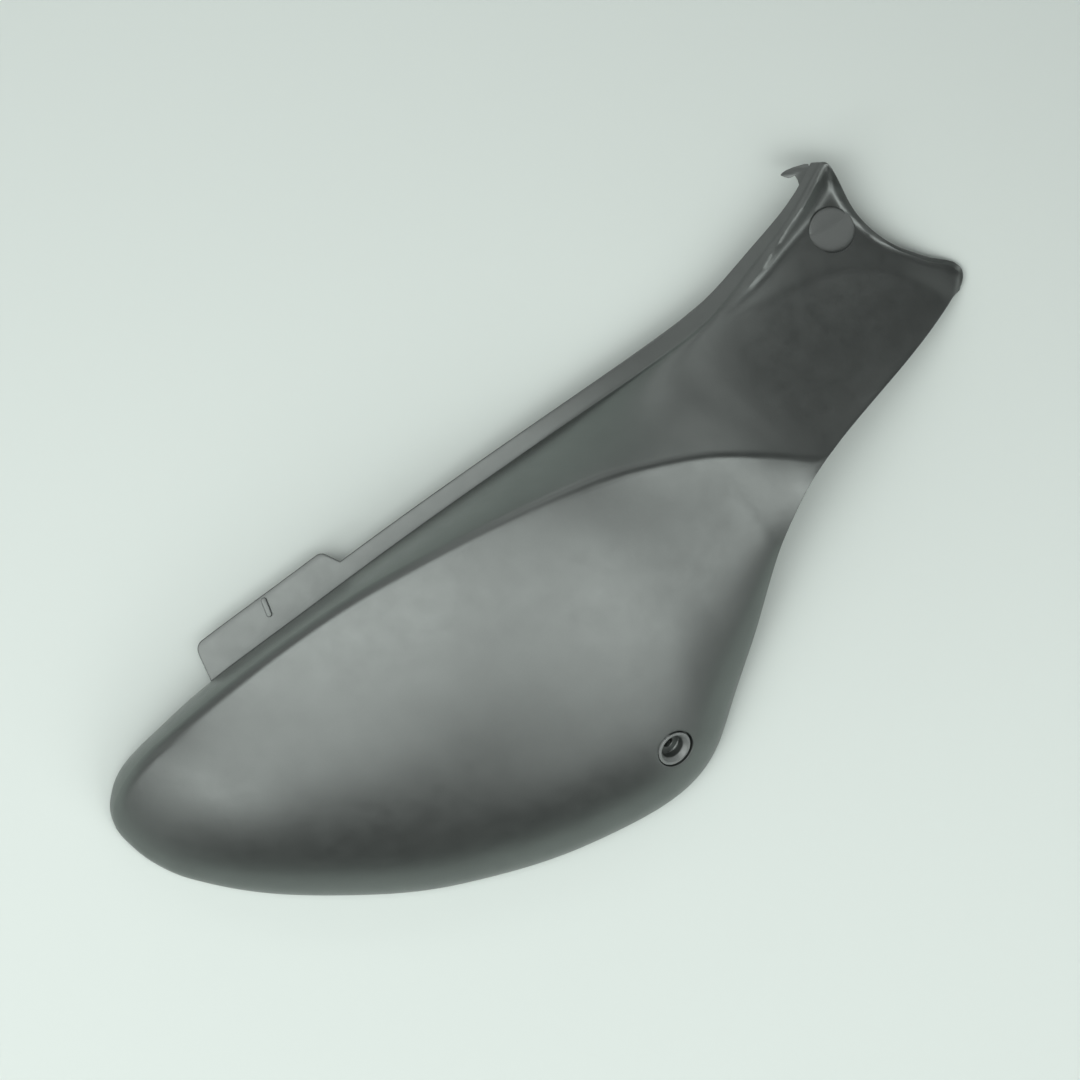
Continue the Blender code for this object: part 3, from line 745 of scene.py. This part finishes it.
@dataclass
class ScrewSeat:
    """Sunk seat in the flank: a round groove with a collar in it, its bore and the screw's hole."""

    skin: Skin
    x: float = -0.0055
    y: float = -0.1515
    dip: float = 0.11
    diameter: float = 0.0244
    shift: Pair = (0.0008, 0.0004)
    groove_depth: float = 0.0048
    groove_roll: float = 0.0003
    groove_foot: float = 0.0007
    collar: float = 0.0224
    collar_wall: float = 0.0018
    proud: float = -0.0002
    lip: float = 0.0003
    cone: Pair = (0.0076, 0.0030)
    bore_depth: float = 0.0086
    bore_foot: float = 0.0006
    edge: float = 0.0003
    hole: float = 0.0066
    wall: float = 0.0025
    reach: float = 0.012
    steps: int = 120

    def __post_init__(self) -> None:
        """Find the seat's place on the skin, its axis and the groove's middle."""
        self.point, self.normal = self.skin.surface(self.x, self.y)
        upright = Vector((0.0, 0.0, 1.0))
        self.axis = (self.normal - upright * self.dip).normalized()
        downhill = (self.axis * self.axis.z - upright).normalized()
        self.middle = self.point + downhill * self.shift[0] + self.axis.cross(downhill) * self.shift[1]

    def cut_into(self, shell: bpy.types.Object) -> None:
        """Add the boss behind the skin, sink the groove, stand the collar in it and bore it."""
        self.backing(shell)
        self.work(shell, "seat_groove", self.groove_profile(), self.middle, self.axis, Join.CUT)
        self.work(shell, "seat_collar", self.collar_profile(), self.point, self.axis, Join.ADD)
        self.work(shell, "seat_bore", self.bore_profile(), self.point, self.axis, Join.CUT)
        self.finish_collar(shell)

    def backing(self, shell: bpy.types.Object) -> None:
        """The boss behind the skin that carries the collar."""
        radius = 0.5 * self.diameter + self.wall
        top = -0.55 * self.skin.wall
        back = -self.bore_depth - self.wall
        foot = self.bore_foot
        profile = [(0.0, top), (radius, top), (radius, back + foot), (radius - foot, back), (0.0, back)]
        self.work(shell, "seat_backing", profile, self.point, self.normal, Join.ADD)

    def work(self, shell: bpy.types.Object, name: str, profile: Sequence[Pair], point: Vector,
             axis: Vector, how: Join) -> None:
        """Turn a tool from a profile, set it on an axis and join it to the shell or cut it away."""
        tool = turned(name, profile, self.steps)
        place(tool, point, axis)
        combine(shell, tool, how)

    def roll_mouth(self, shell: bpy.types.Object) -> None:
        """Round the edge where the groove's wall meets the skin."""
        middle, axis = self.middle, self.axis
        radius = 0.5 * self.diameter
        mesh = shell.data
        near = set()
        for vertex in mesh.vertices:
            arm = vertex.co - middle
            height = arm.dot(axis)
            off = abs((arm - axis * height).length - radius)
            if off < HAIR and height > -0.6 * self.groove_depth:
                near.add(vertex.index)
        mouth = []
        for edge in mesh.edges:
            ends = [mesh.vertices[v].co for v in edge.vertices]
            along = (ends[0] - ends[1]).normalized()
            mouth.append(near.issuperset(edge.vertices) and abs(along.dot(axis)) < 0.7)
        bevel_chosen(shell, mouth, self.groove_roll, 3)

    def finish_collar(self, shell: bpy.types.Object) -> None:
        """Give the collar's lip and countersink their own duller finish, whose lighter colour is painted
        highlight.
        """
        radius = 0.5 * self.collar + 2.5 * HAIR
        finish_round(shell, self.point, self.axis, radius, (-self.cone[1], 0.002), 2)

    def groove_profile(self) -> list[Pair]:
        """The round groove with a small round at its foot."""
        radius, depth, foot = 0.5 * self.diameter, self.groove_depth, self.groove_foot
        return [(0.0, self.reach), (radius, self.reach), (radius, foot - depth),
                (radius - 0.3 * foot, 0.3 * foot - depth), (radius - foot, -depth), (0.0, -depth)]

    def collar_profile(self) -> list[Pair]:
        """The collar as a solid plug with a rolled outer lip."""
        radius, root = 0.5 * self.collar, -self.groove_depth - self.bore_foot
        return ([(0.0, self.proud)]
                + [(radius - self.lip * (1.0 - math.cos(a)), self.proud - self.lip * (1.0 - math.sin(a)))
                   for a in (math.radians(d) for d in (90.0, 67.5, 45.0, 22.5, 0.0))]
                + [(radius, root), (0.0, root)])

    def bore_profile(self) -> list[Pair]:
        """The bore: a rolled lip, a countersink, the well below it, its floor and the screw's hole."""
        radius = 0.5 * self.collar - self.collar_wall
        back = -self.bore_depth - self.wall - self.reach
        foot, edge, hole = self.bore_foot, self.edge, 0.5 * self.hole
        well, sunk = self.cone
        lip = [(radius + self.lip * (1.0 - math.cos(a)), self.proud - self.lip * (1.0 - math.sin(a)))
               for a in (math.radians(d) for d in (80.0, 67.5, 45.0, 30.0))]
        outer = radius + 1.1 * self.lip
        return ([(0.0, self.reach), (outer, self.reach), (outer, self.proud + 0.05 * self.lip)] + lip
                + [(well + edge, edge - sunk), (well, -sunk - 10.0 * HAIR),
                   (well, foot - self.bore_depth), (well - foot, -self.bore_depth),
                   (hole + edge, -self.bore_depth), (hole, -self.bore_depth - edge),
                   (hole, back), (0.0, back)])


@dataclass
class HornPocket:
    """Round flat pad in the scoop, raised at one side and sunk at the other."""

    skin: Skin
    x: float = 0.2550
    y: float = 0.0535
    diameter: float = 0.0280
    depth: float = 0.0008
    clearance: float = 0.0003
    wall: float = 0.0022
    back: float = 0.0068
    edge: float = 0.0006
    reach: float = 0.012
    steps: int = 96

    def cut_into(self, shell: bpy.types.Object) -> None:
        """Back the skin, stand the pad in it and clear what lies above the pad."""
        point, normal = self.skin.surface(self.x, self.y)
        axis = self.skin.surface(self.x, self.y, dished=False)[1]
        radius, edge, level, back = 0.5 * self.diameter, self.edge, -self.depth, -self.back
        wide, top = radius + self.wall, -0.6 * self.skin.wall
        clear, root, over = radius + self.clearance, back + self.wall, level + HAIR
        backing = [(0.0, top), (wide, top), (wide, back), (0.0, back)]
        pad = [(0.0, level), (radius - 4.0 * edge, level), (radius - edge, level),
               (radius - 0.3 * edge, level - 0.3 * edge), (radius, level - edge),
               (radius, root), (0.0, root)]
        recess = [(0.0, self.reach), (clear, self.reach), (clear, over), (0.0, over)]
        tools = (("pocket_backing", backing, normal, Join.ADD),
                 ("pocket_pad", pad, axis, Join.ADD),
                 ("pocket_recess", recess, axis, Join.CUT))
        for name, profile, way, how in tools:
            tool = turned(name, profile, self.steps)
            place(tool, point, way)
            combine(shell, tool, how)
        finish_round(shell, point, axis, radius - edge, (level - 10.0 * HAIR, level + 10.0 * HAIR), 3)


@dataclass
class TabNib:
    """Small raised locating rib that starts near the outer edge of the tab."""

    skin: Skin
    length: float = 0.0125
    width: float = 0.0036
    height: float = 0.0022
    root: float = 0.0012
    inset: float = 0.0012
    from_start: float = 0.054
    top_roll: float = 0.0005
    skew: float = math.radians(-13.0)

    def join_to(self, shell: bpy.types.Object) -> None:
        """Raise the rib on the tab, with round ends and a rolled top."""
        flange = self.skin.flange
        x = flange.start_x + self.from_start
        out = flange.tab_reach - 0.5 * self.length - self.inset
        deselect_all()
        bpy.ops.mesh.primitive_cube_add(size=1.0)
        nib = bpy.context.object
        nib.name = "tab_nib"
        nib.data.transform(Matrix.Diagonal((self.width, self.length, self.height + self.root, 1.0)))
        places = nib.data.vertices
        upright = [abs((places[e.vertices[0]].co - places[e.vertices[1]].co).normalized().z) > 0.9
                   for e in nib.data.edges]
        bevel_chosen(nib, upright, 0.45 * self.width, 6)
        places = nib.data.vertices
        top = max(vertex.co.z for vertex in places)
        crown = [all(places[v].co.z > top - SPECK for v in edge.vertices) for edge in nib.data.edges]
        bevel_chosen(nib, crown, self.top_roll, 3)
        height = self.skin.foot_z(x) + 0.5 * (self.height - self.root)
        nib.data.transform(Matrix.Translation((x, self.skin.foot_y(x) + out, height))
                           @ Matrix.Rotation(-math.atan(flange.rise), 4, "Y")
                           @ Matrix.Rotation(self.skew, 4, "Z"))
        combine(shell, nib, Join.ADD)


@dataclass
class Hook:
    """The claw at the end of the flange, beside the horn."""

    skin: Skin
    drop: float = 0.00004
    edge_roll: float = 0.0005
    sharp: float = math.radians(50.0)
    outline: list[Pair] = field(default_factory=lambda: [
        (252.0, 84.2), (253.6, 86.4), (254.9, 90.0), (255.2, 93.6), (252.6, 93.9), (251.2, 94.6),
        (249.6, 96.4), (248.2, 98.9), (250.0, 99.4), (252.5, 99.4), (257.2, 98.4), (264.0, 96.0),
        (266.0, 94.6), (264.0, 89.6), (258.0, 85.6)])

    def join_to(self, shell: bpy.types.Object) -> None:
        """Raise the claw from its outline, in the slope of the flange, with rolled edges."""
        deselect_all()
        bpy.ops.mesh.primitive_circle_add(vertices=len(self.outline), fill_type="NGON")
        hook = bpy.context.object
        hook.name = "hook"
        skin = self.skin
        for vertex, (x, y) in zip(hook.data.vertices, self.outline):
            vertex.co = (x * MM, y * MM, 0.0)
        pick(hook)
        bpy.ops.object.mode_set(mode="EDIT")
        face_outwards()
        bpy.ops.mesh.extrude_region_move(TRANSFORM_OT_translate={"value": (0.0, 0.0, -skin.wall)})
        face_outwards()
        bpy.ops.object.mode_set(mode="OBJECT")
        for vertex in hook.data.vertices:
            x, y = vertex.co.x, vertex.co.y
            out = y - skin.foot_y(x)
            vertex.co.z += skin.foot_z(x) - out * skin.flange.fall(x) - self.drop
        roll_edges(hook, self.edge_roll, self.sharp, 2)
        combine(shell, hook, Join.ADD)


class NodeDesk:
    """Short ways to lay and join the nodes of one material."""

    def __init__(self, material: bpy.types.Material) -> None:
        """Open a material's node tree.

        Args:
            material: The material to dress.
        """
        material.use_nodes = True
        self.nodes = material.node_tree.nodes
        self.links = material.node_tree.links
        self.shader = self.nodes["Principled BSDF"]
        self.place = self.nodes.new("ShaderNodeTexCoord").outputs["Object"]

    def noise(self, per_metre: float, detail: float, roughness: float = 0.5) -> bpy.types.NodeSocket:
        """Soft noise over the piece, as a number about one half."""
        node = self.nodes.new("ShaderNodeTexNoise")
        node.inputs["Scale"].default_value = per_metre
        node.inputs["Detail"].default_value = detail
        node.inputs["Roughness"].default_value = roughness
        self.links.new(self.place, node.inputs["Vector"])
        return node.outputs["Fac"]

    def grains(self, per_metre: float, output: str) -> bpy.types.NodeSocket:
        """Cells of a fixed size: their colour for flakes, their distance for pits."""
        node = self.nodes.new("ShaderNodeTexVoronoi")
        node.inputs["Scale"].default_value = per_metre
        self.links.new(self.place, node.inputs["Vector"])
        return node.outputs[output]

    def spread(self, source: bpy.types.NodeSocket, low: float, high: float,
               span: Pair = (0.0, 1.0)) -> bpy.types.NodeSocket:
        """Map a number from its own span to a range."""
        node = self.nodes.new("ShaderNodeMapRange")
        node.inputs["From Min"].default_value, node.inputs["From Max"].default_value = span
        node.inputs["To Min"].default_value = low
        node.inputs["To Max"].default_value = high
        self.links.new(source, node.inputs["Value"])
        return node.outputs["Result"]

    def sum_of(self, first: bpy.types.NodeSocket, second: bpy.types.NodeSocket) -> bpy.types.NodeSocket:
        """Add two numbers that both change over the piece."""
        node = self.nodes.new("ShaderNodeMath")
        node.operation = "ADD"
        self.links.new(first, node.inputs[0])
        self.links.new(second, node.inputs[1])
        return node.outputs["Value"]

    def shades(self, source: bpy.types.NodeSocket, dark: Colour, light: Colour) -> bpy.types.NodeSocket:
        """Colour between two shades by a number from nought to one."""
        node = self.nodes.new("ShaderNodeValToRGB")
        node.color_ramp.elements[0].color = (*dark, 1.0)
        node.color_ramp.elements[1].color = (*light, 1.0)
        self.links.new(source, node.inputs["Fac"])
        return node.outputs["Color"]

    def bump(self, height: bpy.types.NodeSocket, depth: float,
             under: bpy.types.NodeSocket | None = None) -> bpy.types.NodeSocket:
        """Fine relief of a given depth in metres, on top of another relief if there is one."""
        node = self.nodes.new("ShaderNodeBump")
        node.inputs["Strength"].default_value = 1.0
        node.inputs["Distance"].default_value = depth
        self.links.new(height, node.inputs["Height"])
        if under is not None:
            self.links.new(under, node.inputs["Normal"])
        return node.outputs["Normal"]


@dataclass(frozen=True)
class SatinPaint:
    """Grey satin paint with a fine metal flake, sprayed over a moulded skin."""

    name: str = "satin_grey_paint"
    dark: Colour = (0.144, 0.159, 0.151)
    light: Colour = (0.160, 0.177, 0.168)
    metallic: float = 0.80
    roughness: Pair = (0.33, 0.39)
    flakes_per_metre: float = 2600.0
    flake_depth: float = 0.000012
    peel_per_metre: float = 420.0
    peel_depth: float = 0.00002
    cloud_per_metre: float = 38.0
    blotch_per_metre: float = 85.0

    def make(self) -> bpy.types.Material:
        """Build the paint's node tree.

        Returns:
            The material.
        """
        paint = bpy.data.materials.new(self.name)
        desk = NodeDesk(paint)
        flake = desk.grains(self.flakes_per_metre, "Color")
        cloud = desk.spread(desk.noise(self.cloud_per_metre, 3.0), 0.0, 0.65, MIDDLE_OF_NOISE)
        tone = desk.sum_of(cloud, desk.spread(flake, 0.0, 0.35))
        desk.links.new(desk.shades(tone, self.dark, self.light), desk.shader.inputs["Base Color"])
        blotch = desk.noise(self.blotch_per_metre, 4.0, 0.6)
        rough = desk.spread(blotch, *self.roughness, MIDDLE_OF_NOISE)
        desk.links.new(rough, desk.shader.inputs["Roughness"])
        peel = desk.bump(desk.noise(self.peel_per_metre, 1.0), self.peel_depth)
        relief = desk.bump(flake, self.flake_depth, peel)
        desk.links.new(relief, desk.shader.inputs["Normal"])
        desk.shader.inputs["Metallic"].default_value = self.metallic
        paint.diffuse_color = (*self.light, 1.0)
        return paint


@dataclass(frozen=True)
class BareMoulding:
    """The unpainted inside of the moulding, with the fine eroded grain of its tool."""

    name: str = "bare_moulded_plastic"
    dark: Colour = (0.030, 0.031, 0.031)
    light: Colour = (0.046, 0.047, 0.047)
    roughness: Pair = (0.50, 0.62)
    grain_per_metre: float = 1500.0
    grain_depth: float = 0.00006
    cloud_per_metre: float = 30.0
    blotch_per_metre: float = 120.0

    def make(self) -> bpy.types.Material:
        """Build the bare plastic's node tree.

        Returns:
            The material.
        """
        plastic = bpy.data.materials.new(self.name)
        desk = NodeDesk(plastic)
        cloud = desk.spread(desk.noise(self.cloud_per_metre, 4.0), 0.0, 1.0, MIDDLE_OF_NOISE)
        desk.links.new(desk.shades(cloud, self.dark, self.light), desk.shader.inputs["Base Color"])
        rough = desk.spread(desk.noise(self.blotch_per_metre, 4.0), *self.roughness, MIDDLE_OF_NOISE)
        desk.links.new(rough, desk.shader.inputs["Roughness"])
        grain = desk.bump(desk.grains(self.grain_per_metre, "Distance"), self.grain_depth)
        desk.links.new(grain, desk.shader.inputs["Normal"])
        plastic.diffuse_color = (*self.light, 1.0)
        return plastic


@dataclass
class SidePanel:
    """The whole moulding, from the skin to the last detail."""

    skin: Skin = field(default_factory=Skin)
    paint: SatinPaint = field(default_factory=SatinPaint)
    inside: BareMoulding = field(default_factory=BareMoulding)
    # The collar's finish is a duller copy of the panel paint. Its lighter base colour is painted
    # highlight on the collar's lip and countersink.
    collar: SatinPaint = field(default_factory=lambda: SatinPaint(
        name="collar_paint_painted_highlight", dark=(0.205, 0.222, 0.213), light=(0.245, 0.265, 0.255),
        metallic=0.35, roughness=(0.42, 0.50)))
    pad: SatinPaint = field(default_factory=lambda: SatinPaint(
        name="matt_pad_paint", dark=(0.118, 0.130, 0.124), light=(0.140, 0.154, 0.147),
        metallic=0.35, roughness=(0.46, 0.54)))
    smooth_angle: float = math.radians(32.0)

    def build(self) -> bpy.types.Object:
        """Model the moulding, set it in the CAD's box and dress it.

        Returns:
            The finished panel.
        """
        finishes = [self.paint.make(), self.inside.make(), self.collar.make(), self.pad.make()]
        panel = Shell(self.skin).build(finishes)
        LOG.info("skin and wall: %d faces", len(panel.data.polygons))
        HornPocket(self.skin).cut_into(panel)
        LOG.info("pocket by the horn cut: %d faces", len(panel.data.polygons))
        TabNib(self.skin).join_to(panel)
        LOG.info("rib on the tab raised: %d faces", len(panel.data.polygons))
        Hook(self.skin).join_to(panel)
        LOG.info("hook joined: %d faces", len(panel.data.polygons))
        seat = ScrewSeat(self.skin)
        seat.cut_into(panel)
        seat.roll_mouth(panel)
        LOG.info("screw seat turned: %d faces", len(panel.data.polygons))
        self.set_in_box(panel)
        panel.name = "panel_moulding"
        pick(panel)
        bpy.ops.object.shade_smooth_by_angle(angle=self.smooth_angle)
        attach(panel, "root")
        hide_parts(NODE)
        return panel

    @staticmethod
    def set_in_box(panel: bpy.types.Object) -> None:
        """Bring the mesh from the sections' own axes to where the CAD node lies."""
        low, high = (Vector(corner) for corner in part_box(NODE))
        flat = np.empty(len(panel.data.vertices) * 3)
        panel.data.vertices.foreach_get("co", flat)
        flat = flat.reshape(-1, 3)
        own_low, own_high = flat.min(axis=0), flat.max(axis=0)
        shift = (0.5 * (low.x + high.x - own_low[0] - own_high[0]),
                 0.5 * (low.y + high.y - own_low[1] - own_high[1]), low.z - own_low[2])
        panel.data.transform(Matrix.Translation(shift))
        LOG.info("set in its box by %s mm", [round(1000.0 * s, 3) for s in shift])


@dataclass(frozen=True)
class SoftBox:
    """A soft area lamp, placed in picture axes: right, up and height."""

    name: str
    spot: tuple[float, float, float]
    size: Pair
    power: float
    leans: bool = False


@dataclass
class Studio:
    """Floor, lamps, world and the camera above."""

    overhead: tuple[SoftBox, ...] = (
        SoftBox("right_box", (1.12, -0.79, 1.07), (1.66, 1.48), 10.4),
        SoftBox("far_left_box", (-1.28, -1.30, 1.08), (1.34, 0.45), 8.35),
        SoftBox("left_box", (-0.49, -0.40, 1.09), (0.99, 1.30), 7.9),
        SoftBox("top_box", (0.0, 1.30, 1.10), (1.98, 0.50), 3.6),
        SoftBox("upper_left_box", (-0.97, 0.75, 1.11), (1.95, 1.60), 3.5),
        SoftBox("near_right_box", (0.71, -0.36, 1.12), (1.42, 0.61), 3.1),
        SoftBox("left_strip", (-0.67, -0.20, 1.13), (2.56, 0.30), 2.95))
    low_turns: tuple[int, ...] = (-1, 0, 1, 2, 3, 4, 5, 6)
    low_step: float = 36.0
    low_radius: float = 1.8
    low_height: float = 0.45
    low_size: Pair = (1.0, 0.6)
    low_power: float = 1.2
    aim_height: float = 0.03
    floor_size: float = 8.0
    floor_colour: tuple[float, float, float] = (0.70, 0.78, 0.735)
    centre: tuple[float, float] = (0.00365, 0.0390)
    view_width: float = 0.6642
    distance: float = 4.0
    roll: float = math.radians(-34.9)

    def build(self) -> None:
        """Lay the floor, hang the lamps and set the camera."""
        self.floor()
        self.world()
        self.lamps()
        self.camera()

    def floor(self) -> None:
        """A wide plain floor."""
        deselect_all()
        bpy.ops.mesh.primitive_plane_add(size=self.floor_size, location=(0.0, 0.0, 0.0))
        floor = bpy.context.object
        floor.name = "floor"
        paint = bpy.data.materials.new("pale_board")
        paint.use_nodes = True
        shader = paint.node_tree.nodes["Principled BSDF"]
        shader.inputs["Base Color"].default_value = (*self.floor_colour, 1.0)
        shader.inputs["Roughness"].default_value = 0.6
        shader.inputs["Specular IOR Level"].default_value = 0.2
        floor.data.materials.append(paint)

    def world(self) -> None:
        """A dark room, so that all light comes from the soft boxes."""
        world = bpy.data.worlds.new("dark_room")
        bpy.context.scene.world = world
        world.use_nodes = True
        back = world.node_tree.nodes["Background"]
        back.inputs["Color"].default_value = (1.0, 1.0, 1.0, 1.0)
        back.inputs["Strength"].default_value = 0.0

    def hang(self, box: SoftBox) -> None:
        """Hang one soft box.

        Args:
            box: Its place, size, power and whether it faces straight down.
        """
        data = bpy.data.lights.new(box.name, "AREA")
        data.shape = "RECTANGLE"
        data.size, data.size_y = box.size
        data.energy = box.power
        lamp = bpy.data.objects.new(box.name, data)
        bpy.context.scene.collection.objects.link(lamp)
        middle = Vector((*self.centre, 0.0))
        lamp.location = Matrix.Rotation(self.roll, 3, "Z") @ Vector(box.spot) + middle
        lamp.rotation_euler = (0.0, 0.0, self.roll)
        if box.leans:
            aim = Vector((*self.centre, self.aim_height)) - lamp.location
            lamp.rotation_euler = aim.to_track_quat("-Z", "Y").to_euler()

    def lamps(self) -> None:
        """The soft boxes overhead, and a ring of low ones that stays open toward the panel's foot."""
        for box in self.overhead:
            self.hang(box)
        for turn in self.low_turns:
            angle = self.low_step * turn
            way = Vector((math.cos(math.radians(angle)), math.sin(math.radians(angle))))
            spot = (self.low_radius * way.x, self.low_radius * way.y, self.low_height)
            power = self.low_power * (2.0 if abs(angle - 90.0) < 0.6 * self.low_step else 1.0)
            self.hang(SoftBox(f"low_box_{turn + 2}", spot, self.low_size, power, leans=True))

    def camera(self) -> None:
        """A long lens straight above, rolled as in the photograph."""
        data = bpy.data.cameras.new("camera")
        data.sensor_width = 36.0
        data.lens = 36.0 * self.distance / self.view_width
        data.clip_end = 50.0
        camera = bpy.data.objects.new("camera", data)
        bpy.context.scene.collection.objects.link(camera)
        camera.location = (*self.centre, self.distance)
        camera.rotation_euler = (0.0, 0.0, self.roll)
        bpy.context.scene.camera = camera


def main() -> None:
    """Build the panel and its studio, then hand the scene over."""
    logging.basicConfig(level=logging.INFO, format="%(message)s")
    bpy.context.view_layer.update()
    panel = SidePanel().build()
    LOG.info("%s: %d faces", panel.name, len(panel.data.polygons))
    Studio().build()
    bpy.context.scene.view_settings.view_transform = "Standard"


if __name__ == "__main__":
    main()
